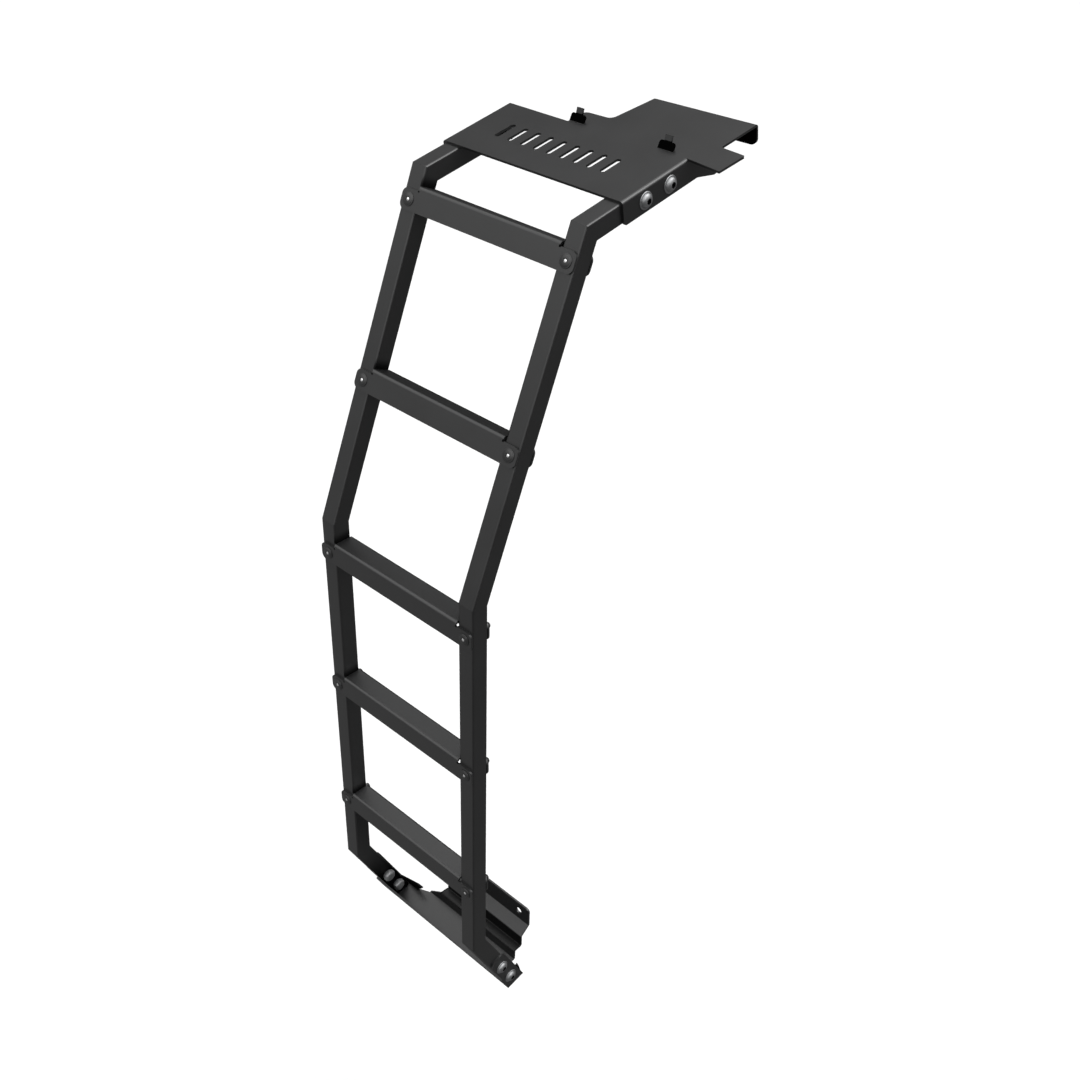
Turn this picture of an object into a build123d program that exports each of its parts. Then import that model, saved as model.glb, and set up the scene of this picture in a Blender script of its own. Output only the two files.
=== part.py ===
from build123d import *
import os
from math import cos, radians, sin

# A tailgate ladder: two square-tube rails, five folded rungs, a roof bracket and a sill bracket.
# +Y points at the vehicle, +X along the rungs, +Z up. The origin lies on the back face of the sill
# bracket's flange, level with its two fixing holes, in the middle plane of the rails.

# Driving dimensions, millimetres and degrees
ladder_width = 279.4        # across the outer faces of the rails
tube = 25.4                 # square rail tube
tube_wall = 2.1
tube_corner = 2.4           # outer corner radius of the tube
sheet = 3.0                 # folded sheet of rungs and brackets
bend = 4.0                  # outer radius of a fold
tray_bend = 5.5             # outer radius of the folds round the feet
rung_bolt_hole = 9.0
bracket_bolt_hole = 11.0

standoff = 146.0            # front face of the lower rails to the sill flange's back face
knee_height = 687.0         # middle bend of the rails above the sill flange's holes
upper_length = 462.5        # middle bend to top bend, along the front face
lower_length = 617.0        # middle bend to foot bend
foot_length = 164.0         # foot bend to the sill bracket
upper_lean = 22.0           # upper rails off vertical
foot_kick = 27.0            # feet off vertical, in towards the vehicle
bracket_rise = 11.15        # roof plate and sill base plate off level

upper_rungs = (23.7, 251.1)             # tread tops below the top bend, along the rail
lower_rungs = (28.4, 253.8, 479.2)      # tread tops below the middle bend
rung_height = 31.75
tread_gap = 0.8                         # tread end to rail
tab_top = 6.0                           # tab's upper edge below the tread top
tab_corner = 8.0
relief = 1.7                            # radius of the bend relief beside each tab

plate_near, plate_far = 55.0, 170.0     # wide part of the roof plate, from the top bend
flange_depth = 27.0                     # roof plate's side flanges below its underside
band_left, band_left_far = -42.0, 200.0
ear_near, ear_far = (190.0, 165.0), (192.5, 209.0)
nose_left, nose_left_far = (0.2, 202.0), (11.2, 273.5)
nose_right, nose_right_far = (157.5, 211.5), (159.0, 279.8)
lip_depth, lip_corner = 24.0, 9.0
arm_short = 2.0                         # roof arm ends short of the wide part
roof_bolts = (93.0, 136.0)
hook_places = (-31.0, 106.0)
hook_base = 172.5
hook_width, hook_length, hook_lean = 22.0, 10.5, 36.0
finger_width, finger_length, finger_lean = 9.5, 7.0, 25.0
slot_count, slot_pitch = 9, 21.0
slot_length, slot_width = 34.0, 7.0
slot_middle = (-8.0, 112.0)

sill_left, sill_right = -49.0, 114.0    # stepped back part of the sill bracket
slant_left = -76.0                      # foot of its slanted left end
crease_depth = 38.2                     # base plate, from the feet's front to the first riser
step_points = ((112.5, -738.0), (126.5, -737.0), (126.5, -717.0), (143.0, -704.0), (143.0, -671.0))
flange_corner = 6.0
front_height = 38.0                     # front flange, up along the feet
ear_length = 93.0                       # side ears, up along the feet
ear_margin = 3.5                        # ear beyond the back face of the foot
ear_corner = 12.0
left_lip = ((-137.0, 0.0), (-95.0, 0.0), (-79.0, 20.0), (-90.0, 19.5))
right_lip = ((124.0, 0.0), (137.0, 0.0), (135.0, 13.0), (132.0, 19.0))
foot_bolts = (24.5, 66.0)               # up from the end of the foot
sill_holes = (-27.0, 93.0)
sill_hole = 11.0

half = ladder_width / 2
inner = half - tube
tread_half = inner - tread_gap
arm_length = plate_far - arm_short


def unit(angle):
    """Direction in the side view, measured from +Y towards +Z."""
    return Vector(cos(radians(angle)), sin(radians(angle)))


def right_of(direction):
    """Side-view normal on the right of a direction of travel."""
    return Vector(direction.Y, -direction.X)


# Side view of a rail's front edge, from the foot's end up to the roof arm's end
knee = Vector(-standoff, knee_height)
shoulder = knee + unit(90 - upper_lean) * upper_length
arm_end = shoulder + unit(bracket_rise) * arm_length
foot_bend = knee - unit(90) * lower_length
foot_end = foot_bend - unit(90 + foot_kick) * foot_length
rail_points = (foot_end, foot_bend, knee, shoulder, arm_end)
rail_headings = (90 + foot_kick, 90, 90 - upper_lean, bracket_rise)


def inset(points, headings, depth, first=None):
    """The same chain of lines moved to its right by depth, with mitred corners."""
    normals = [right_of(unit(heading)) for heading in headings]
    moved = []
    for index, point in enumerate(points):
        before = normals[max(index - 1, 0)]
        after = normals[min(index, len(normals) - 1)]
        if index == 0 and first is not None:
            cut = unit(first)
            moved.append(point + cut * (depth / cut.dot(after)))
        else:
            moved.append(point + (before + after) * (depth / (1 + before.dot(after))))
    return moved


def rail_line(depth):
    return inset(rail_points, rail_headings, depth, bracket_rise)


def pairs(vectors):
    return [(vector.X, vector.Y) for vector in vectors]


def across(point, x=0.0):
    """Plane square to X through a side-view point, with its own Y up."""
    return Plane(origin=(x, point.X, point.Y), x_dir=(0, 1, 0), z_dir=(1, 0, 0))


def facing(point, heading, x=0.0):
    """Plane on a rail's front face, looking into the rail: X along the rungs."""
    normal = right_of(unit(heading))
    return Plane(origin=(x, point.X, point.Y), x_dir=(1, 0, 0), z_dir=(0, normal.X, normal.Y))


# Rungs: name, height of the tread top on the front edge, heading of its rail
rungs = []
for number, drop in enumerate(reversed(lower_rungs), start=1):
    rungs.append((f"rung_{number}", knee - unit(90) * drop, 90.0))
for number, drop in enumerate(reversed(upper_rungs), start=len(rungs) + 1):
    rungs.append((f"rung_{number}", shoulder - unit(90 - upper_lean) * drop, 90 - upper_lean))
bolt_drop = (tab_top + rung_height) / 2
bolt_x = half - tube / 2


def tube_length(index, x_low, front_bolts=(), side_bolts=()):
    """One straight length of rail tube, mitred to its neighbours."""
    outer = rail_line(0)[index:index + 2] + rail_line(tube)[index:index + 2][::-1]
    bore = rail_line(tube_wall)[index:index + 2] + rail_line(tube - tube_wall)[index:index + 2][::-1]
    along = outer[1] - outer[0]
    with BuildPart() as length:
        with BuildSketch(Plane.YZ.offset(x_low)):
            with BuildLine():
                Polyline(*pairs(outer), close=True)
            make_face()
        extrude(amount=tube)
        runs = length.edges().filter_by(Axis((0, 0, 0), (0, along.X, along.Y)))
        fillet(runs, tube_corner)
        with BuildSketch(Plane.YZ.offset(x_low + tube_wall)):
            with BuildLine():
                Polyline(*pairs(bore), close=True)
            make_face()
        extrude(amount=tube - 2 * tube_wall, mode=Mode.SUBTRACT)
        for point, heading in front_bolts:
            with BuildSketch(facing(point, heading, x_low + tube / 2)):
                Circle(rung_bolt_hole / 2)
            extrude(amount=tube, mode=Mode.SUBTRACT)
        for point in side_bolts:
            with BuildSketch(across(point, x_low)):
                Circle(bracket_bolt_hole / 2)
            extrude(amount=tube, mode=Mode.SUBTRACT)
    return length.part


def rung_bolts(heading):
    return [(top - unit(heading) * bolt_drop, heading) for _, top, angle in rungs if angle == heading]


foot_up = unit(90 + foot_kick)
foot_holes = [foot_end + foot_up * up + right_of(foot_up) * (tube / 2) for up in foot_bolts]
arm_out = unit(bracket_rise)
arm_holes = [shoulder + arm_out * out + right_of(arm_out) * (tube / 2) for out in roof_bolts]

finished = {}
for side, x_low in (("left", -half), ("right", inner)):
    finished[f"{side}_foot"] = tube_length(0, x_low, side_bolts=foot_holes)
    finished[f"{side}_lower_rail"] = tube_length(1, x_low, front_bolts=rung_bolts(90.0))
    finished[f"{side}_upper_rail"] = tube_length(2, x_low, front_bolts=rung_bolts(90 - upper_lean))
    finished[f"{side}_roof_arm"] = tube_length(3, x_low, side_bolts=arm_holes)


def rung(top, heading):
    """A channel folded from sheet: a tread between the rails, and front and back walls whose ends
    run on as tabs over the rails."""
    into = right_of(unit(heading))
    section = Plane(origin=(-tread_half, top.X, top.Y), x_dir=(0, into.X, into.Y), z_dir=(1, 0, 0))
    walls = (top - into * sheet, top + into * tube)
    with BuildPart() as channel:
        with BuildSketch(section) as profile:
            with BuildLine():
                Polyline(
                    (-sheet, -rung_height),
                    (-sheet, 0),
                    (tube + sheet, 0),
                    (tube + sheet, -rung_height),
                    (tube, -rung_height),
                    (tube, -sheet),
                    (0, -sheet),
                    (0, -rung_height),
                    close=True,
                )
            make_face()
            fillet(profile.vertices().group_by(Axis.Y)[1], bend - sheet)
            fillet(profile.vertices().group_by(Axis.Y)[-1], bend)
        extrude(amount=2 * tread_half)
        for wall in walls:
            with BuildSketch(facing(wall, heading)):
                with Locations((0, bolt_drop)):
                    RectangleRounded(ladder_width, rung_height - tab_top, tab_corner)
            extrude(amount=sheet)
        for wall in walls:
            with BuildSketch(facing(wall, heading)):
                with Locations((-bolt_x, bolt_drop), (bolt_x, bolt_drop)):
                    Circle(rung_bolt_hole / 2)
                with Locations((-tread_half, tab_top), (tread_half, tab_top)):
                    Circle(relief)
            extrude(amount=sheet, mode=Mode.SUBTRACT)
    return channel.part


for name, top, heading in rungs:
    finished[name] = rung(top, heading)


def sloping(point):
    """Plane at the brackets' slope through a side-view point: X along the rungs, Y in and up."""
    rise = radians(bracket_rise)
    return Plane(origin=(0, point.X, point.Y), x_dir=(1, 0, 0), z_dir=(0, -sin(rise), cos(rise)))


# Roof bracket, drawn on its own sloping plane
roof = sloping(shoulder)


def roof_section(y, z=0.0):
    """Plane across the roof bracket at a distance from the top bend, with its own Y down."""
    return Plane(origin=roof.from_local_coords((0, y, z)), x_dir=(1, 0, 0), z_dir=roof.y_dir)


def roof_side(x):
    """Plane along the roof bracket, with its own X in over the roof and Y up."""
    return Plane(origin=roof.from_local_coords((x, 0, 0)), x_dir=roof.y_dir, z_dir=(1, 0, 0))


# Nose of the roof plate with the lip folded down at its far edge, which follows the roof at a slant
fold_start = roof.from_local_coords((*nose_left_far, 0))
fold_run = roof.from_local_coords((*nose_right_far, 0)) - fold_start
fold = Plane(origin=fold_start, x_dir=roof.z_dir.cross(fold_run), z_dir=fold_run)
nose_length = nose_left_far[1] - nose_left[1]
nose_width = nose_right_far[0] - nose_left[0]


def nose_edges(share):
    """Points on the nose's left and right edges, at a share of the way to its far edge."""
    edges = ((nose_left, nose_left_far), (nose_right, nose_right_far))
    return [tuple(a + (b - a) * share for a, b in zip(start, end)) for start, end in edges]


with BuildPart() as nose:
    with BuildSketch(fold) as lip:
        with BuildLine():
            Polyline(
                (-2 * nose_length, 0),
                (-2 * nose_length, sheet),
                (0, sheet),
                (0, -lip_depth),
                (-sheet, -lip_depth),
                (-sheet, 0),
                close=True,
            )
        make_face()
        fillet(lip.vertices().sort_by_distance((0, sheet))[0], bend)
        fillet(lip.vertices().sort_by_distance((-sheet, 0))[0], bend - sheet)
    extrude(amount=2 * nose_width, both=True)
    with BuildSketch(roof.offset(sheet)):
        with BuildLine():
            Polyline(nose_left, *nose_edges(2), nose_right, close=True)
        make_face()
    extrude(amount=-2 * lip_depth, mode=Mode.INTERSECT)
    lip_foot = nose.faces().sort_by(Axis((0, 0, 0), roof.z_dir))[0]
    fillet(lip_foot.edges().sort_by(SortBy.LENGTH)[:2], lip_corner)

saddle = half + sheet
with BuildPart() as roof_bracket:
    with BuildSketch(roof_section(plate_near)) as saddle_profile:
        with BuildLine():
            Polyline(
                (-saddle, flange_depth),
                (-saddle, -sheet),
                (saddle, -sheet),
                (saddle, flange_depth),
                (half, flange_depth),
                (half, 0),
                (-half, 0),
                (-half, flange_depth),
                close=True,
            )
        make_face()
        fillet(saddle_profile.vertices().group_by(Axis.Y)[1], bend - sheet)
        fillet(saddle_profile.vertices().group_by(Axis.Y)[0], bend)
    extrude(amount=plate_far - plate_near)
    flange_ends = roof_bracket.edges().filter_by(Axis.X).group_by(SortBy.LENGTH)[0]
    fillet(flange_ends.group_by(Axis.Y)[0], 5)
    with BuildSketch(roof) as plan:
        with BuildLine():
            Polyline(
                (band_left, plate_far - 20),
                (half - 20, plate_far - 20),
                (half - 20, plate_far),
                (saddle, plate_far),
                ear_near,
                ear_far,
                nose_right,
                *nose_edges(0.5)[::-1],
                nose_left,
                (band_left, band_left_far),
                close=True,
            )
        make_face()
        fillet(plan.vertices().sort_by_distance((band_left, band_left_far))[0], 9)
        fillet(plan.vertices().sort_by_distance(nose_left)[0], 9)
        fillet(plan.vertices().sort_by_distance(nose_right)[0], 3)
        fillet(plan.vertices().sort_by_distance(ear_far)[0], 2)
    extrude(amount=sheet)
    add(nose)
    hook_face = roof_section(hook_base, sheet).rotated((-hook_lean, 0, 0))
    finger_face = Plane(origin=hook_face.from_local_coords((0, -hook_length, 0)), x_dir=(1, 0, 0),
                        z_dir=hook_face.z_dir).rotated((hook_lean - finger_lean, 0, 0))
    for place in hook_places:
        with BuildSketch(hook_face):
            with Locations((place, -hook_length / 2)):
                RectangleRounded(hook_width, hook_length, 3.5)
            with Locations((place, 0)):
                Rectangle(hook_width, 2 * sheet)
        extrude(amount=sheet)
        with BuildSketch(finger_face):
            with Locations((place, -finger_length / 2 + sheet / 2)):
                Rectangle(finger_width, finger_length + sheet)
        extrude(amount=sheet)
    with BuildSketch(roof.offset(sheet)):
        with Locations(slot_middle):
            with GridLocations(slot_pitch, 1, slot_count, 1):
                SlotOverall(slot_length, slot_width, rotation=90)
    extrude(amount=-sheet, mode=Mode.SUBTRACT)
    for point in arm_holes:
        with BuildSketch(across(point, -saddle)):
            Circle(bracket_bolt_hole / 2)
        extrude(amount=2 * saddle, mode=Mode.SUBTRACT)
finished["roof_bracket"] = roof_bracket.part

# Gusset under the roof plate's ear, in line with the right side flange
with BuildPart() as gusset:
    with BuildSketch(roof_side(half)):
        with BuildLine():
            Polyline(
                (plate_far, 0),
                (plate_far, -flange_depth),
                (plate_far + 15, -flange_depth),
                (plate_far + 46, -flange_depth - 10.5),
                (plate_far + 64, -flange_depth - 10.5),
                (plate_far + 64, 0),
                close=True,
            )
        make_face()
    extrude(amount=sheet)
finished["ear_gusset"] = gusset.part


# Sill bracket, folded from one sheet: a tray round the ends of the feet, with a front flange, ears on
# their outer faces and lips behind them, and a stepped back part that ends in the flange with the
# fixing holes
base = sloping(foot_end)
base_out = unit(bracket_rise)
ear_depth = right_of(foot_up) * (tube + ear_margin)
tray_depth = (tube + ear_margin) / base_out.dot(right_of(foot_up))
tray_back = foot_end + base_out * tray_depth
tray_line = [foot_end + foot_up * front_height, foot_end, tray_back]
ear_top = foot_end + foot_up * ear_length
ear_line = [foot_end, tray_back, ear_top + ear_depth, ear_top]
crease = foot_end + base_out * crease_depth
step_line = [foot_end + base_out * bend, crease]
step_line += [knee + Vector(y, z) for y, z in step_points]
step_headings = []
for start, end in zip(step_line, step_line[1:]):
    step_headings.append(Vector(1, 0, 0).get_signed_angle(end - start, Vector(0, 0, 1)))
ledge = step_line[2]
flange_top = step_line[-1]

with BuildPart() as sill_bracket:
    with BuildSketch(Plane.YZ.offset(-saddle)):
        with BuildLine():
            tray_outside = inset(tray_line, (foot_kick - 90, bracket_rise), sheet)
            Polyline(*pairs(tray_line + tray_outside[::-1]), close=True)
        make_face()
    extrude(amount=2 * saddle)
    for x in (-saddle, half):
        with BuildSketch(Plane.YZ.offset(x)) as ear:
            with BuildLine():
                Polyline(*pairs(ear_line), close=True)
            make_face()
            fillet(ear.vertices().group_by(Axis.Y)[-2:], ear_corner)
        extrude(amount=sheet)
    along_base = sill_bracket.edges().filter_by(Axis((0, 0, 0), base.y_dir))
    front_fold = sill_bracket.edges().filter_by(Axis.X).sort_by_distance((0, *pairs(tray_outside)[1]))[0]
    fillet([along_base.sort_by(Axis.X)[0], along_base.sort_by(Axis.X)[-1], front_fold], tray_bend)
    back = Plane(origin=base.from_local_coords((0, tray_depth, 0)), x_dir=(1, 0, 0), z_dir=-base.y_dir)
    for outline in (left_lip, right_lip):
        with BuildSketch(back):
            with BuildLine():
                Polyline(*outline, close=True)
            make_face()
        extrude(amount=sheet)
    with BuildSketch(base):
        with BuildLine():
            Polyline(
                (left_lip[1][0], tray_depth - sheet),
                (left_lip[1][0], tray_depth),
                (slant_left, crease_depth - bend + sheet),
                (slant_left, crease_depth - bend),
                (sill_right, crease_depth - bend),
                (right_lip[0][0] - sheet, tray_depth),
                (right_lip[0][0] - sheet, tray_depth - sheet),
                close=True,
            )
        make_face()
    extrude(amount=-sheet)
    with BuildSketch(Plane.YZ.offset(slant_left)):
        with BuildLine():
            FilletPolyline(*pairs(inset(step_line, step_headings, sheet / 2)), radius=bend - sheet / 2)
        trace(line_width=sheet)
    extrude(amount=sill_right - slant_left)
    with BuildSketch(Plane.XZ):
        with BuildLine():
            Polyline(
                (slant_left, crease.Y),
                (sill_left, ledge.Y),
                (sill_left, flange_top.Y),
                (slant_left, flange_top.Y),
                close=True,
            )
        make_face()
    extrude(amount=-crease.X, mode=Mode.SUBTRACT)
    fillet(sill_bracket.edges().filter_by(Axis.Y).group_by(Axis.Z)[-1], flange_corner)
    for point in foot_holes:
        with BuildSketch(across(point, -saddle)):
            Circle(bracket_bolt_hole / 2)
        extrude(amount=2 * saddle, mode=Mode.SUBTRACT)
    with BuildSketch(Plane.XZ):
        with Locations(*[(x, 0) for x in sill_holes]):
            Circle(sill_hole / 2)
    extrude(amount=2 * sheet, mode=Mode.SUBTRACT)
finished["sill_bracket"] = sill_bracket.part

os.makedirs("parts", exist_ok=True)
for name, piece in finished.items():
    piece.label = name
    export_step(piece, f"parts/{name}.step")
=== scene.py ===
"""Looks of a tailgate ladder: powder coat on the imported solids, the bolts that hold them, and a studio."""

from math import cos, pi, radians, sin, sqrt

import bpy
from bpy.props import FloatProperty, FloatVectorProperty, PointerProperty
from bpy.types import Operator, Panel, PropertyGroup
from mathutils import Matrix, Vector


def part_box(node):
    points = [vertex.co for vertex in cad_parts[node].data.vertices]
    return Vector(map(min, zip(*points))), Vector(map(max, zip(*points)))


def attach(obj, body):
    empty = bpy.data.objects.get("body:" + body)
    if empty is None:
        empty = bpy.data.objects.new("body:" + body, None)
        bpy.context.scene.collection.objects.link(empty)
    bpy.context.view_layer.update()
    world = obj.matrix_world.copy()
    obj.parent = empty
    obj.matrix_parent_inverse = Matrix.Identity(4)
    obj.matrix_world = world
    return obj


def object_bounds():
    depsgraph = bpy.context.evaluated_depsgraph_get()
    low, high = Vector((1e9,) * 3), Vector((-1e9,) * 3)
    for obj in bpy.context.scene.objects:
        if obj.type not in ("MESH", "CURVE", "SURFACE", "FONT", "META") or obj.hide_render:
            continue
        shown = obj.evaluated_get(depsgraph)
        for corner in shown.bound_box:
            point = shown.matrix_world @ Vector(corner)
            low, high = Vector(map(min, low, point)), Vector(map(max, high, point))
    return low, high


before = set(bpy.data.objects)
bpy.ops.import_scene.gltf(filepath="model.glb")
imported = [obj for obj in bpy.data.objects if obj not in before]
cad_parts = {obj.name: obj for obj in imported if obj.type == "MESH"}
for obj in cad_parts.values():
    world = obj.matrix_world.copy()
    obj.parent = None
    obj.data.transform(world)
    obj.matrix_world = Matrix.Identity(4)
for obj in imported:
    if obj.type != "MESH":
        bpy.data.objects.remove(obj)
cad_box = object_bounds()

bl_info = {
    "name": "Tailgate Ladder",
    "version": (1, 0, 0),
    "blender": (4, 5, 0),
    "location": "3D View > Sidebar > Ladder",
    "description": "Dresses the packed ladder with powder coat, bolts and a studio",
    "category": "Object",
}

RAIL_NODES = [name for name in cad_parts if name.endswith(("_foot", "_rail", "_arm"))]
RUNG_NODES = sorted(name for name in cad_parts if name.startswith("rung_"))
BRACKET_NODES = ["roof_bracket", "ear_gusset", "sill_bracket"]
LEANING_RUNGS = RUNG_NODES[3:]
WHITE = (1.0, 1.0, 1.0, 1.0)


def length(title, note, default):
    return FloatProperty(name=title, description=note, default=default, unit="LENGTH", precision=5)


def angle(title, note, degrees):
    return FloatProperty(name=title, description=note, default=radians(degrees), unit="ROTATION")


def ratio(title, note, default):
    return FloatProperty(name=title, description=note, default=default, min=0.0, precision=4)


def colour(title, note, default):
    return FloatVectorProperty(
        name=title,
        description=note,
        default=default,
        subtype="COLOR",
        min=0.0,
        max=1.0,
    )


class LadderLayout(PropertyGroup):
    """Where the bolts go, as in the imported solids."""

    tube: length("Tube", "Side of the square rail tube", 0.0254)
    sheet: length("Sheet", "Thickness of rungs and brackets", 0.003)
    rung_height: length("Rung height", "Height of a rung's walls", 0.03175)
    bolt_drop: length("Bolt drop", "Rung bolt below the tread's top", 0.018875)
    upper_lean: angle("Upper lean", "Upper rails off vertical", 22.0)
    foot_kick: angle("Foot kick", "Feet off vertical", 27.0)
    bracket_rise: angle("Bracket rise", "Slope of the brackets' plates", 11.15)
    foot_bolts: FloatVectorProperty(
        name="Foot bolts",
        description="Bolts up from the end of each foot",
        default=(0.0245, 0.066),
        size=2,
        unit="LENGTH",
    )
    arm_bolts: FloatVectorProperty(
        name="Arm bolts",
        description="Bolts back from the end of each roof arm",
        default=(0.075, 0.032),
        size=2,
        unit="LENGTH",
    )


class BoltSizes(PropertyGroup):
    """Threads of the bolts, and the shape of a bolt and its nut as multiples of the thread."""

    rung_thread: length("Rung thread", "Thread of the rung bolts", 0.008)
    bracket_thread: length("Bracket thread", "Thread of the bracket bolts", 0.010)
    rung_tip: length("Rung tip", "Rung bolt beyond its nut", 0.003)
    flange: ratio("Flange", "Diameter of the flange under the head", 2.15)
    flange_height: ratio("Flange height", "Thickness of the flange", 0.12)
    dome: ratio("Dome", "Diameter of the head on the flange", 1.72)
    low_head: ratio("Low head", "Height of a rung bolt's head", 0.24)
    low_socket: ratio("Low socket", "Depth of a rung bolt's socket", 0.14)
    pin: ratio("Pin", "Diameter of the bare pin in a rung bolt", 0.64)
    round_head: ratio("Round head", "Height of a bracket bolt's head", 0.55)
    round_socket: ratio("Round socket", "Depth of a bracket bolt's socket", 0.40)
    socket: ratio("Socket", "Hex socket across its flats", 0.68)
    pitch: ratio("Pitch", "Distance between thread turns", 0.15)
    nut: ratio("Nut", "Nut across its flats", 1.62)
    nut_hex: ratio("Nut hexagon", "Height of the nut's hexagon", 0.66)
    nut_height: ratio("Nut height", "Height of the nut with its locking ring", 1.0)
    nut_ring: ratio("Nut ring", "Diameter of the nut's locking ring", 1.40)
    cap: ratio("Cap nut", "Cap nut across its flats", 1.70)
    cap_height: ratio("Cap height", "Height of the cap nut", 0.95)
    cap_bore: ratio("Cap bore", "Depth of the cap nut's thread", 0.70)
    bolt_edge: length("Bolt edge", "Bevel on a bolt's edges", 0.00012)
    nut_edge: length("Nut edge", "Bevel on a lock nut's edges", 0.00015)
    cap_edge: length("Cap edge", "Bevel on a cap nut's edges", 0.0004)


class FinishLook(PropertyGroup):
    """Colours and gloss of the finishes, with the painted shade laid over the coat."""

    coat: colour("Powder coat", "Satin black coat on the metalwork", (0.0045, 0.0046, 0.0048))
    coat_roughness: ratio("Coat roughness", "Gloss of the coat", 0.38)
    grain: length("Grain", "Size of the coat's grain", 0.0009)
    clouds: ratio("Clouds", "Clouds in the coat, per metre", 14.0)
    # Matt black: painted shade in corners, on the roof lip, the sill step and behind the feet, and matt
    # black on the roof hooks.
    matt_black_and_shade: colour("Matt black", "Rubber on hooks and lip, grime in corners", (0.0012, 0.0012, 0.0012))
    # Height of the matt black on the roof hooks.
    hook_black_height: length("Hook dip", "Height of the rubber on the roof hooks", 0.0088)
    lip_reach: length("Lip reach", "Roof lip's inner face, out from the arms' ends", 0.1019)
    lip_slant: angle("Lip slant", "Roof lip off the rungs' direction", 2.44)
    # Painted shade over the roof lip, this far in from its inner face.
    lip_shade_band: length("Lip band", "Rubber in from the lip's inner face", 0.027)
    # Painted shade on the feet's inner faces, full below this height.
    foot_shade_fade: length("Foot fade", "Height on the feet below which the grime is full", 0.06)
    # Painted shade in the corners on the rungs: how black, and how high.
    corner_shade: ratio("Corner grime", "How black the corners on the rungs are", 0.85)
    corner_height: length("Corner height", "Height of the grime on the rungs", 0.016)
    # Painted shade on the sill bracket's step: how black, and where it lies.
    step_shade: ratio("Step grime", "How black the sill bracket's step is", 0.6)
    step_front: length("Step front", "Front of the black step, from the sill flange's back face", 0.0335)
    step_top: length("Step top", "Top of the black step, below the fixing holes", 0.0305)
    # Painted shade on the lugs behind the feet: how black.
    lug_shade: ratio("Lug grime", "How black the lugs behind the feet are", 0.9)
    pin_steel: colour("Pin steel", "Bare steel in the middle of the rung bolts", (0.92, 0.92, 0.92))
    pin_roughness: ratio("Pin roughness", "Gloss of the bare steel", 0.25)
    zinc: colour("Zinc", "Zinc-plated steel of the bracket bolts", (0.34, 0.345, 0.35))
    zinc_roughness: ratio("Zinc roughness", "Gloss of the zinc", 0.48)
    # Painted shade in the bracket bolts' sockets: their zinc made this much darker.
    socket_shade_tone: ratio("Socket tone", "Tone of the bracket bolts' sockets beside the zinc", 0.02)
    socket_roughness: ratio("Socket roughness", "Gloss in the bracket bolts' sockets", 0.6)


class StudioLook(PropertyGroup):
    """Camera, floor and light."""

    camera_place: FloatVectorProperty(
        name="Camera place",
        description="Where the camera stands",
        default=(1.04067, -1.02366, 1.65885),
        subtype="TRANSLATION",
    )
    camera_turn: FloatVectorProperty(
        name="Camera turn",
        description="How the camera is turned",
        default=(0.966711, -0.026375, 0.755989),
        subtype="EULER",
    )
    lens: FloatProperty(name="Lens", description="Focal length", default=44.914, unit="CAMERA")
    floor_drop: length("Floor drop", "Floor below the lowest point of the ladder", 0.35)
    floor_size: length("Floor size", "Side of the floor", 60.0)
    floor: colour("Floor", "Pale floor", (0.68, 0.68, 0.68))
    backdrop_radius: length("Backdrop radius", "White dome round the studio", 29.0)
    top_light: ratio("Top light", "Brightness overhead", 1.44)
    front_light: ratio("Front light", "Brightness level with the ladder, in front on the left", 0.37)
    front_low: ratio("Front low", "Brightness low in front on the left", 0.32)
    back_light: ratio("Back light", "Brightness on the right and behind", 0.164)
    back_glow: ratio("Back glow", "Brightness added high up behind on the right", 1.38)
    softbox_place: FloatVectorProperty(
        name="Softbox place",
        description="Where the softbox hangs, behind on the right",
        default=(1.3, 1.7, 3.4),
        subtype="TRANSLATION",
    )
    softbox_target: FloatVectorProperty(
        name="Softbox target",
        description="What the softbox points at",
        default=(0.0, 0.0, 0.8),
        subtype="TRANSLATION",
    )
    softbox_size: length("Softbox size", "Diameter of the softbox", 1.6)
    softbox_power: FloatProperty(
        name="Softbox power",
        description="Power of the softbox",
        default=26.0,
        unit="POWER",
    )


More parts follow.
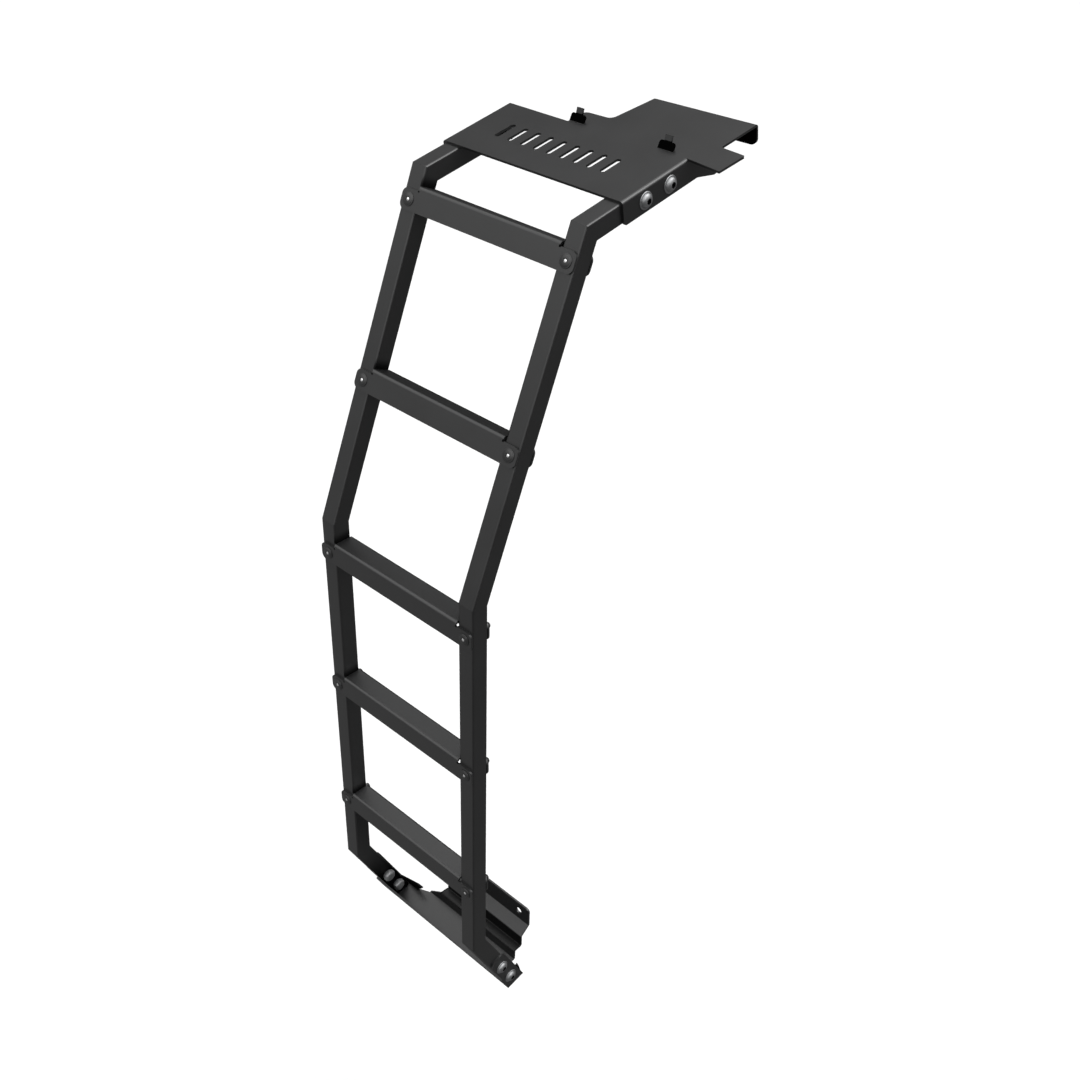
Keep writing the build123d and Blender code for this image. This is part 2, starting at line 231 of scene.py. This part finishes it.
class Wire:
    """A socket in a node tree. Arithmetic on it adds Math nodes."""

    def __init__(self, tree, socket=None):
        self.tree = tree
        self.socket = socket

    def node(self, kind, settings=None, inputs=None, output=0):
        """Adds a node: its settings first, then the values or links of its sockets."""
        made = self.tree.nodes.new(kind)
        for name, value in (settings or {}).items():
            setattr(made, name, value)
        for name, value in (inputs or {}).items():
            if isinstance(value, Wire):
                self.tree.links.new(value.socket, made.inputs[name])
            else:
                made.inputs[name].default_value = value
        return Wire(self.tree, made.outputs[output] if made.outputs else None)

    def math(self, operation, first, second):
        return self.node("ShaderNodeMath", {"operation": operation}, {0: first, 1: second})

    def __add__(self, other):
        return self.math("ADD", self, other)

    __radd__ = __add__

    def __sub__(self, other):
        return self.math("SUBTRACT", self, other)

    def __rsub__(self, other):
        return self.math("SUBTRACT", other, self)

    def __mul__(self, other):
        return self.math("MULTIPLY", self, other)

    __rmul__ = __mul__

    def along(self, direction):
        """How far a place lies along a direction."""
        dot = {"operation": "DOT_PRODUCT"}
        return self.node("ShaderNodeVectorMath", dot, {0: self, 1: direction}, output=1)

    def ramp(self, low, high):
        """0 below low, 1 above high, smooth between."""
        limits = {"Value": self, "From Min": low, "From Max": high}
        return self.node("ShaderNodeMapRange", {"interpolation_type": "SMOOTHSTEP"}, limits)

    def blend(self, first, second):
        """A colour that goes from first to second as this value goes from 0 to 1."""
        mix = {"data_type": "RGBA", "clamp_factor": True}
        return self.node("ShaderNodeMix", mix, {0: self, 6: first, 7: second}, output=2)

    def noise(self, scale, detail=2.0, roughness=0.5):
        inputs = {"Vector": self, "Scale": scale, "Detail": detail, "Roughness": roughness}
        return self.node("ShaderNodeTexNoise", None, inputs)

    def bump(self, strength):
        inputs = {"Strength": strength, "Distance": 0.0001, "Height": self}
        return self.node("ShaderNodeBump", None, inputs)

    def principled(self, **inputs):
        named = {name.replace("_", " "): value for name, value in inputs.items()}
        return self.node("ShaderNodeBsdfPrincipled", None, named)


def new_material(name):
    """An empty material, and a wire to build its nodes on."""
    material = bpy.data.materials.new(name)
    material.use_nodes = True
    material.node_tree.nodes.clear()
    return material, Wire(material.node_tree)


def shade(tint, amount=1.0):
    """The same colour, lighter or darker, with full alpha."""
    return tuple(min(1.0, part * amount) for part in tint[:3]) + (1.0,)


def coat_material(name, look, amount, black_and_shade_zones=()):
    """Satin powder coat: fine grain, faint clouding, and gloss that changes a little over the surface.
    A matt zone lays matt black over the coat, mostly as painted shade. It is how black it makes the coat,
    and the limits that it lies beyond: each a direction, and how far along it the zone starts and is full."""
    material, tree = new_material(name)
    place = tree.node("ShaderNodeTexCoord", output=3)
    grain = place.noise(1.0 / look.grain, 3.0, 0.6)
    cloud = place.noise(look.clouds, 3.0, 0.55)
    tone = (0.65 * cloud + 0.35 * grain).ramp(0.30, 0.70)
    surface = tree.principled(
        Base_Color=tone.blend(shade(look.coat, 0.75 * amount), shade(look.coat, 1.3 * amount)),
        Roughness=look.coat_roughness - 0.05 + 0.07 * cloud + 0.03 * grain,
        IOR=1.6,
        Specular_IOR_Level=0.6 * amount,
        Normal=grain.bump(0.12),
    )
    # Matt black mixed over the coat: painted shade in corners and recesses, and matt black on the roof
    # hooks.
    if black_and_shade_zones:
        cover = 0.0
        for inside, limits in black_and_shade_zones:
            for direction, start, full in limits:
                inside = inside * place.along(direction).ramp(start, full)
            cover = cover + inside
        matt_black_and_shade = tree.principled(
            Base_Color=grain.ramp(0.3, 0.7).blend(shade(look.matt_black_and_shade, 0.7), shade(look.matt_black_and_shade, 1.4)),
            Roughness=0.6 + 0.1 * grain,
            Specular_IOR_Level=0.0,
        )
        surface = tree.node("ShaderNodeMixShader", None, {0: cover, 1: surface, 2: matt_black_and_shade})
    tree.node("ShaderNodeOutputMaterial", None, {"Surface": surface})
    return material


def metal_material(name, tint, roughness):
    """Turned steel: fine tool marks, light and dark patches, and a soft sheen."""
    material, tree = new_material(name)
    place = tree.node("ShaderNodeTexCoord", output=3)
    patches = place.noise(320.0, 3.0, 0.6)
    marks = place.noise(2600.0, 2.0, 0.5)
    surface = tree.principled(
        Base_Color=patches.ramp(0.30, 0.70).blend(shade(tint, 0.85), shade(tint, 1.1)),
        Roughness=roughness - 0.05 + 0.10 * patches,
        Metallic=1.0,
        Normal=marks.bump(0.08),
    )
    tree.node("ShaderNodeOutputMaterial", None, {"Surface": surface})
    return material


def activate(piece):
    bpy.ops.object.select_all(action="DESELECT")
    piece.select_set(True)
    bpy.context.view_layer.objects.active = piece


def turned(name, profile, steps=48):
    """A piece turned about Z from its profile of (radius, height) points."""
    bpy.ops.object.select_all(action="DESELECT")
    bpy.ops.mesh.primitive_plane_add(size=0.001)
    piece = bpy.context.object
    piece.name = name
    bpy.ops.object.mode_set(mode="EDIT")
    bpy.ops.mesh.merge(type="CENTER")
    last = profile[0]
    bpy.ops.transform.translate(value=(last[0], 0, last[1]))
    for radius, height in profile[1:]:
        step = (radius - last[0], 0, height - last[1])
        bpy.ops.mesh.extrude_region_move(TRANSFORM_OT_translate={"value": step})
        last = (radius, height)
    bpy.ops.mesh.select_all(action="SELECT")
    bpy.ops.mesh.spin(steps=steps, angle=2 * pi, center=(0, 0, 0), axis=(0, 0, 1))
    bpy.ops.mesh.select_all(action="SELECT")
    bpy.ops.mesh.remove_doubles(threshold=1e-6)
    bpy.ops.mesh.normals_make_consistent(inside=False)
    bpy.ops.object.mode_set(mode="OBJECT")
    return piece


def hex_bar(flats, low, high):
    """A hexagonal bar about Z, to cut or trim a turned piece."""
    bpy.ops.object.select_all(action="DESELECT")
    bpy.ops.mesh.primitive_cylinder_add(
        vertices=6,
        radius=flats / sqrt(3),
        depth=high - low,
        location=(0, 0, (low + high) / 2),
    )
    return bpy.context.object


def combine(piece, tool, operation):
    """Cuts or trims a piece with a tool, whose material the cut faces keep."""
    modifier = piece.modifiers.new("combine", "BOOLEAN")
    modifier.operation = operation
    modifier.solver = "EXACT"
    modifier.material_mode = "TRANSFER"
    modifier.object = tool
    activate(piece)
    bpy.ops.object.modifier_apply(modifier=modifier.name)
    bpy.data.objects.remove(tool, do_unlink=True)


def finish_edges(piece, width):
    """Breaks the sharp edges a little and shades the round faces smooth."""
    modifier = piece.modifiers.new("edges", "BEVEL")
    modifier.width = width
    modifier.segments = 2
    modifier.limit_method = "ANGLE"
    modifier.angle_limit = radians(40)
    activate(piece)
    bpy.ops.object.modifier_apply(modifier=modifier.name)
    bpy.ops.object.shade_smooth_by_angle(angle=radians(35))


def flanged_bolt(name, sizes, thread, reach, head, depth, finish, socket_finish):
    """A flanged bolt on Z: the head's seat at 0, the shank reaching down below it, and a hex socket."""
    radius = thread / 2
    pitch = thread * sizes.pitch
    root = radius - 0.5 * pitch
    end = -reach
    profile = [(0.0, end), (root - 0.3 * pitch, end), (root, end + 0.4 * pitch)]
    height = end + 0.4 * pitch
    for turn in range(10):
        profile.append((radius, height + 0.5 * pitch))
        profile.append((root, height + pitch))
        height += pitch
    flange = thread * sizes.flange / 2
    seat = thread * sizes.flange_height
    profile += [
        (radius, height + 0.5 * pitch),
        (radius, 0.0),
        (flange - 0.2 * seat, 0.0),
        (flange, 0.25 * seat),
        (flange, 0.6 * seat),
        (flange - 0.4 * seat, seat),
    ]
    dome = thread * sizes.dome / 2
    top = thread * head
    widest = radians(62)
    for step in range(9):
        turn = widest * step / 8
        profile.append((dome * cos(turn), seat + (top - seat) * sin(turn) / sin(widest)))
    profile.append((0.0, top))
    bolt = turned(name, profile)
    bolt.data.materials.append(finish)
    # The socket's faces take socket_finish, which on the bracket bolts is painted shade.
    socket = hex_bar(thread * sizes.socket, top - thread * depth, top + thread)
    socket.data.materials.append(socket_finish)
    combine(bolt, socket, "DIFFERENCE")
    finish_edges(bolt, sizes.bolt_edge)
    return bolt


def add_pin(bolt, diameter, low, high, finish):
    """Sets a round-ended pin in a bolt's socket."""
    radius = diameter / 2
    shoulder = high - 0.45 * radius
    profile = [(0.0, low), (radius, low), (radius, shoulder)]
    for step in range(1, 6):
        turn = pi / 2 * step / 6
        profile.append((radius * cos(turn), shoulder + (high - shoulder) * sin(turn)))
    profile.append((0.0, high))
    pin = turned("pin", profile, 32)
    pin.data.materials.append(finish)
    combine(bolt, pin, "UNION")
    activate(bolt)
    bpy.ops.object.shade_smooth_by_angle(angle=radians(35))


def lock_nut(name, sizes, thread, finish):
    """A hexagonal lock nut on Z, from 0 up, with its ring on top."""
    flats = thread * sizes.nut
    corner = flats / sqrt(3) + 0.0002
    face = 0.47 * flats
    slope = 0.55 * (corner - face)
    shoulder = thread * sizes.nut_hex
    ring = thread * sizes.nut_ring / 2
    top = thread * sizes.nut_height
    bore = thread / 2 + 0.00005
    profile = [
        (bore, 0.0),
        (face, 0.0),
        (corner, slope),
        (corner, shoulder - slope),
        (face, shoulder),
        (ring, shoulder),
        (ring, top - 0.16 * thread),
        (ring - 0.03 * thread, top - 0.07 * thread),
        (ring - 0.10 * thread, top),
        (bore, top),
        (bore, 0.0),
    ]
    nut = turned(name, profile)
    nut.data.materials.append(finish)
    bar = hex_bar(flats, -thread, top + thread)
    bar.data.materials.append(finish)
    combine(nut, bar, "INTERSECT")
    finish_edges(nut, sizes.nut_edge)
    return nut


def cap_nut(name, sizes, thread, finish):
    """A hexagonal nut on Z, from 0 up, closed by a low cap."""
    flats = thread * sizes.cap
    corner = flats / sqrt(3) + 0.0002
    face = 0.47 * flats
    top = thread * sizes.cap_height
    bore = thread / 2 + 0.00005
    deep = thread * sizes.cap_bore
    profile = [
        (0.0, deep),
        (bore, deep),
        (bore, 0.0),
        (face, 0.0),
        (corner, 0.08 * thread),
        (corner, top - 0.22 * thread),
        (0.98 * face, top - 0.12 * thread),
        (0.86 * face, top - 0.04 * thread),
        (0.60 * face, top),
        (0.0, top),
    ]
    nut = turned(name, profile)
    nut.data.materials.append(finish)
    bar = hex_bar(flats, -thread, top + thread)
    bar.data.materials.append(finish)
    combine(nut, bar, "INTERSECT")
    finish_edges(nut, sizes.cap_edge)
    return nut


def place_copy(model, name, place, axis):
    """A copy of a model with its own mesh, its Z turned to axis and its origin moved to place."""
    activate(model)
    bpy.ops.object.duplicate(linked=False)
    piece = bpy.context.object
    piece.name = name
    piece.rotation_mode = "QUATERNION"
    piece.rotation_quaternion = Vector(axis).to_track_quat("Z", "Y")
    piece.location = place
    bpy.ops.object.transform_apply(location=True, rotation=True, scale=True)
    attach(piece, "root")
    return piece


def remove_models(*models):
    for model in models:
        bpy.data.objects.remove(model, do_unlink=True)


def rung_frame(name, layout):
    """A rung's place from its box: the tread's top on the rails' front face, the way in, and the way up."""
    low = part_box(name)[0]
    lean = layout.upper_lean if name in LEANING_RUNGS else 0.0
    up = Vector((0, sin(lean), cos(lean)))
    inward = Vector((0, cos(lean), -sin(lean)))
    back = layout.tube + layout.sheet
    top_y = low.y + layout.sheet * cos(lean) + layout.rung_height * sin(lean)
    top_z = low.z + back * sin(lean) + layout.rung_height * cos(lean)
    return Vector((0, top_y, top_z)), inward, up


def foot_end(layout):
    """The front edge of the feet's ends, the way in along the sill bracket's base, and the base's way up."""
    low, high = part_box("right_foot")
    rise = layout.bracket_rise
    end_y = high.y - layout.tube / cos(layout.foot_kick - rise) * cos(rise)
    return Vector((0, end_y, low.z)), Vector((0, cos(rise), sin(rise))), Vector((0, -sin(rise), cos(rise)))


def foot_bolt_places(layout):
    """Side-view places of the two bolts through each foot."""
    end = foot_end(layout)[0]
    kick = layout.foot_kick
    up = Vector((0, -sin(kick), cos(kick)))
    inward = Vector((0, cos(kick), sin(kick)))
    return [end + up * reach + inward * (layout.tube / 2) for reach in layout.foot_bolts]


def arm_end(layout):
    """The upper edge of the roof arms' ends, the way out over the roof, and the way down."""
    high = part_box("right_roof_arm")[1]
    rise = layout.bracket_rise
    end = Vector((0, high.y - layout.tube * sin(rise), high.z))
    return end, Vector((0, cos(rise), sin(rise))), Vector((0, sin(rise), -cos(rise)))


def arm_bolt_places(layout):
    """Side-view places of the two bolts through each roof arm."""
    end, out, down = arm_end(layout)
    return [end - out * reach + down * (layout.tube / 2) for reach in layout.arm_bolts]


class LADDER_OT_coat(Operator):
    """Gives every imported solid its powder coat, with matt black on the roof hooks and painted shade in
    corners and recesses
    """

    bl_idname = "ladder.coat"
    bl_label = "Powder Coat"

    def execute(self, context):
        look = context.scene.ladder_finish
        layout = context.scene.ladder_layout
        # The amounts make the rungs' coat a little lighter and the brackets' a little darker than the
        # rails': painted light, lit and shaded copies of one coat.
        for nodes, name, amount, black_and_shade_zones in (
            (RAIL_NODES, "rail_coat", 1.0, self.rail_shade_zones(layout, look)),
            (RUNG_NODES, "rung_coat", 1.05, ()),
            (BRACKET_NODES, "bracket_coat", 0.95, self.bracket_black_and_shade_zones(layout, look)),
        ):
            material = coat_material(name, look, amount, black_and_shade_zones)
            for node in nodes:
                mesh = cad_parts[node].data
                mesh.materials.clear()
                mesh.materials.append(material)
        return {"FINISHED"}

    def rail_shade_zones(self, layout, look):
        """Painted shade on the inner faces of the feet, darker lower down, and in the corners on the rungs.
        """
        low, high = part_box("right_foot")
        past = low.x + 0.003
        between = [(Vector((way, 0, 0)), -past, 0.0014 - past) for way in (1, -1)]
        # Painted shade on the feet's inner faces, full towards the bottom.
        zones = [(1.0, [*between, (Vector((0, 0, -1)), -high.z, -low.z - look.foot_shade_fade)])]
        for name in RUNG_NODES:
            top, inward, up = rung_frame(name, layout)
            level = top.dot(up)
            # Painted shade in the corner above each rung's tread.
            corner = [(up, level - 0.001, level), (-up, -level - look.corner_height, -level - 0.002)]
            zones.append((look.corner_shade, [*between, *corner]))
        return zones

    def bracket_black_and_shade_zones(self, layout, look):
        """Matt black on the roof hooks, and painted shade on the lip, on the sill bracket's step and behind
        the feet.
        """
        end, out, down = arm_end(layout)
        edge = 0.0004
        fade = 0.001
        top = end.dot(down) - layout.sheet
        under = top + layout.sheet
        hooks = [(-down, -top, -top + edge), (down, top - look.hook_black_height - edge, top - look.hook_black_height)]
        square = out * cos(look.lip_slant) - Vector((sin(look.lip_slant), 0, 0))
        inside = end.dot(square) + look.lip_reach
        # Painted shade over the roof lip, under the roof plate.
        lip_shade = [
            (down, under, under + edge),
            (square, inside - look.lip_shade_band, inside - look.lip_shade_band + 10 * fade),
            (-square, -inside - 2 * edge, -inside - edge),
        ]
        # Painted shade on the sill bracket's step.
        step = [
            (Vector((0, 1, 0)), -look.step_front, fade - look.step_front),
            (Vector((0, 0, -1)), look.step_top, look.step_top + fade),
        ]
        foot, inward, up = foot_end(layout)
        floor = foot.dot(up)
        back = foot.dot(inward) + layout.tube
        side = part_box("right_foot")[1].x - 0.0007
        # Painted shade on the lugs behind the feet.
        lug_shade_limits = [(Vector((way, 0, 0)), -side, fade - side) for way in (1, -1)]
        lug_shade_limits.append((up, floor + 0.0002, floor + fade))
        lug_shade_limits.append((inward, back + fade, back + 0.0012))
        lug_shade_limits.append((-inward, -back - 0.0062, -back - 0.006))
        return [(1.0, hooks), (1.0, lip_shade), (look.step_shade, step), (look.lug_shade, lug_shade_limits)]


class LADDER_OT_rung_bolts(Operator):
    """Puts a coated bolt and nut through each end of every rung"""

    bl_idname = "ladder.rung_bolts"
    bl_label = "Rung Bolts"

    def execute(self, context):
        layout = context.scene.ladder_layout
        sizes = context.scene.ladder_bolts
        look = context.scene.ladder_finish
        coat = coat_material("bolt_coat", look, 1.0)
        bare = metal_material("pin_steel", look.pin_steel, look.pin_roughness)
        thread = sizes.rung_thread
        reach = layout.tube + 2 * layout.sheet + thread * sizes.nut_height + sizes.rung_tip
        head, depth = sizes.low_head, sizes.low_socket
        bolt = flanged_bolt("rung_bolt_model", sizes, thread, reach, head, depth, coat, coat)
        add_pin(bolt, thread * sizes.pin, -thread / 2, thread * head, bare)
        nut = lock_nut("rung_nut_model", sizes, thread, coat)
        bolt_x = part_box("rung_1")[1].x - layout.tube / 2
        for name in RUNG_NODES:
            top, inward, up = rung_frame(name, layout)
            middle = top - up * layout.bolt_drop
            front = middle - inward * layout.sheet
            back = middle + inward * (layout.tube + layout.sheet)
            for side, x in (("left", -bolt_x), ("right", bolt_x)):
                across = Vector((x, 0, 0))
                place_copy(bolt, f"{name}_{side}_bolt", front + across, -inward)
                place_copy(nut, f"{name}_{side}_nut", back + across, inward)
        remove_models(bolt, nut)
        return {"FINISHED"}


class LADDER_OT_bracket_bolts(Operator):
    """Bolts the roof arms and the feet to their brackets"""

    bl_idname = "ladder.bracket_bolts"
    bl_label = "Bracket Bolts"

    def execute(self, context):
        layout = context.scene.ladder_layout
        sizes = context.scene.ladder_bolts
        look = context.scene.ladder_finish
        zinc = metal_material("bolt_zinc", look.zinc, look.zinc_roughness)
        # Painted shade: the bracket bolts' socket walls and floor get near-black zinc.
        socket_shade_metal = metal_material("socket_shade", shade(look.zinc, look.socket_shade_tone), look.socket_roughness)
        thread = sizes.bracket_thread
        reach = layout.tube + layout.sheet + 0.9 * thread * sizes.cap_bore
        head, depth = sizes.round_head, sizes.round_socket
        bolt = flanged_bolt("bracket_bolt_model", sizes, thread, reach, head, depth, zinc, socket_shade_metal)
        nut = cap_nut("bracket_nut_model", sizes, thread, zinc)
        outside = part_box("sill_bracket")[1].x
        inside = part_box("right_foot")[0].x
        groups = {"foot": foot_bolt_places(layout), "arm": arm_bolt_places(layout)}
        for group, places in groups.items():
            for number, place in enumerate(places, start=1):
                for side, way in (("left", -1.0), ("right", 1.0)):
                    name = f"{side}_{group}_{number}"
                    out = Vector((way, 0, 0))
                    place_copy(bolt, f"{name}_bolt", place + out * outside, out)
                    place_copy(nut, f"{name}_nut", place + out * inside, -out)
        remove_models(bolt, nut)
        return {"FINISHED"}


class LADDER_OT_studio(Operator):
    """Sets the camera, a pale floor and soft studio light"""

    bl_idname = "ladder.studio"
    bl_label = "Studio"

    def execute(self, context):
        scene = context.scene
        look = scene.ladder_studio
        scene.view_settings.view_transform = "Standard"
        self.camera(scene, look)
        self.floor(look)
        self.backdrop(look)
        self.sky(scene, look)
        self.softbox(scene, look)
        return {"FINISHED"}

    def camera(self, scene, look):
        data = bpy.data.cameras.new("camera")
        data.sensor_width = 36.0
        data.lens = look.lens
        data.clip_end = 200.0
        camera = bpy.data.objects.new("camera", data)
        camera.location = look.camera_place
        camera.rotation_euler = look.camera_turn
        scene.collection.objects.link(camera)
        scene.camera = camera

    def floor(self, look):
        bpy.ops.object.select_all(action="DESELECT")
        bpy.ops.mesh.primitive_plane_add(
            size=look.floor_size,
            location=(0, 0, cad_box[0].z - look.floor_drop),
        )
        floor = bpy.context.object
        floor.name = "floor"
        floor.visible_glossy = False
        floor.visible_diffuse = False
        material, tree = new_material("pale_floor")
        surface = tree.principled(
            Base_Color=shade(look.floor),
            Roughness=0.9,
            Specular_IOR_Level=0.0,
        )
        tree.node("ShaderNodeOutputMaterial", None, {"Surface": surface})
        floor.data.materials.append(material)

    def backdrop(self, look):
        """A white dome round the studio, which lets the sky's light through."""
        bpy.ops.object.select_all(action="DESELECT")
        bpy.ops.mesh.primitive_uv_sphere_add(radius=look.backdrop_radius)
        backdrop = bpy.context.object
        backdrop.name = "backdrop"
        backdrop.visible_glossy = False
        backdrop.visible_diffuse = False
        backdrop.visible_shadow = False
        material, tree = new_material("white_backdrop")
        surface = tree.node("ShaderNodeEmission", None, {"Color": WHITE, "Strength": 1.0})
        tree.node("ShaderNodeOutputMaterial", None, {"Surface": surface})
        backdrop.data.materials.append(material)

    def sky(self, scene, look):
        """A broad light overhead that leans to the front, a softer one in front on the left, and a glow
        high up behind on the right."""
        world = bpy.data.worlds.new("studio")
        world.use_nodes = True
        world.node_tree.nodes.clear()
        scene.world = world
        tree = Wire(world.node_tree)
        way = tree.node("ShaderNodeTexCoord", output=0)
        height = way.along((0, 0, 1))
        left_front = way.along((-0.7, -0.7, 0)).ramp(0.0, 0.9)
        front = look.front_low + (look.front_light - look.front_low) * height.ramp(-0.7, 0.0)
        back = look.back_light * (0.2 + 0.8 * way.along((1, 0, 0)).ramp(-0.7, 0.3))
        sides = back + left_front * (front - back)
        overhead = way.along((0, -0.4, 1)).ramp(0.43, 0.61)
        glow = way.along((0.75, 0.6, 0.3)).ramp(-0.1, 0.9) * height.ramp(0.1, 0.5)
        strength = sides + overhead * (look.top_light - sides) + look.back_glow * glow
        light = tree.node("ShaderNodeBackground", None, {"Color": WHITE, "Strength": strength})
        tree.node("ShaderNodeOutputWorld", None, {"Surface": light})

    def softbox(self, scene, look):
        """A disc of light over the roof bracket."""
        data = bpy.data.lights.new("roof_softbox", "AREA")
        data.shape = "DISK"
        data.size = look.softbox_size
        data.energy = look.softbox_power
        lamp = bpy.data.objects.new("roof_softbox", data)
        place = Vector(look.softbox_place)
        lamp.location = place
        lamp.rotation_euler = (Vector(look.softbox_target) - place).to_track_quat("-Z", "Y").to_euler()
        scene.collection.objects.link(lamp)


class LADDER_PT_panel(Panel):
    """Lists the buttons that dress the ladder"""

    bl_idname = "LADDER_PT_panel"
    bl_label = "Tailgate Ladder"
    bl_space_type = "VIEW_3D"
    bl_region_type = "UI"
    bl_category = "Ladder"

    def draw(self, context):
        column = self.layout.column()
        for operator in OPERATORS:
            column.operator(operator.bl_idname)


GROUPS = {
    "ladder_layout": LadderLayout,
    "ladder_bolts": BoltSizes,
    "ladder_finish": FinishLook,
    "ladder_studio": StudioLook,
}
OPERATORS = (LADDER_OT_coat, LADDER_OT_rung_bolts, LADDER_OT_bracket_bolts, LADDER_OT_studio)
CLASSES = (*GROUPS.values(), *OPERATORS, LADDER_PT_panel)


def register():
    for made in CLASSES:
        bpy.utils.register_class(made)
    for name, group in GROUPS.items():
        setattr(bpy.types.Scene, name, PointerProperty(type=group))


def unregister():
    for name in GROUPS:
        delattr(bpy.types.Scene, name)
    for made in reversed(CLASSES):
        bpy.utils.unregister_class(made)


def main():
    register()
    bpy.ops.ladder.coat()
    bpy.ops.ladder.rung_bolts()
    bpy.ops.ladder.bracket_bolts()
    bpy.ops.ladder.studio()


if __name__ == "__main__":
    main()
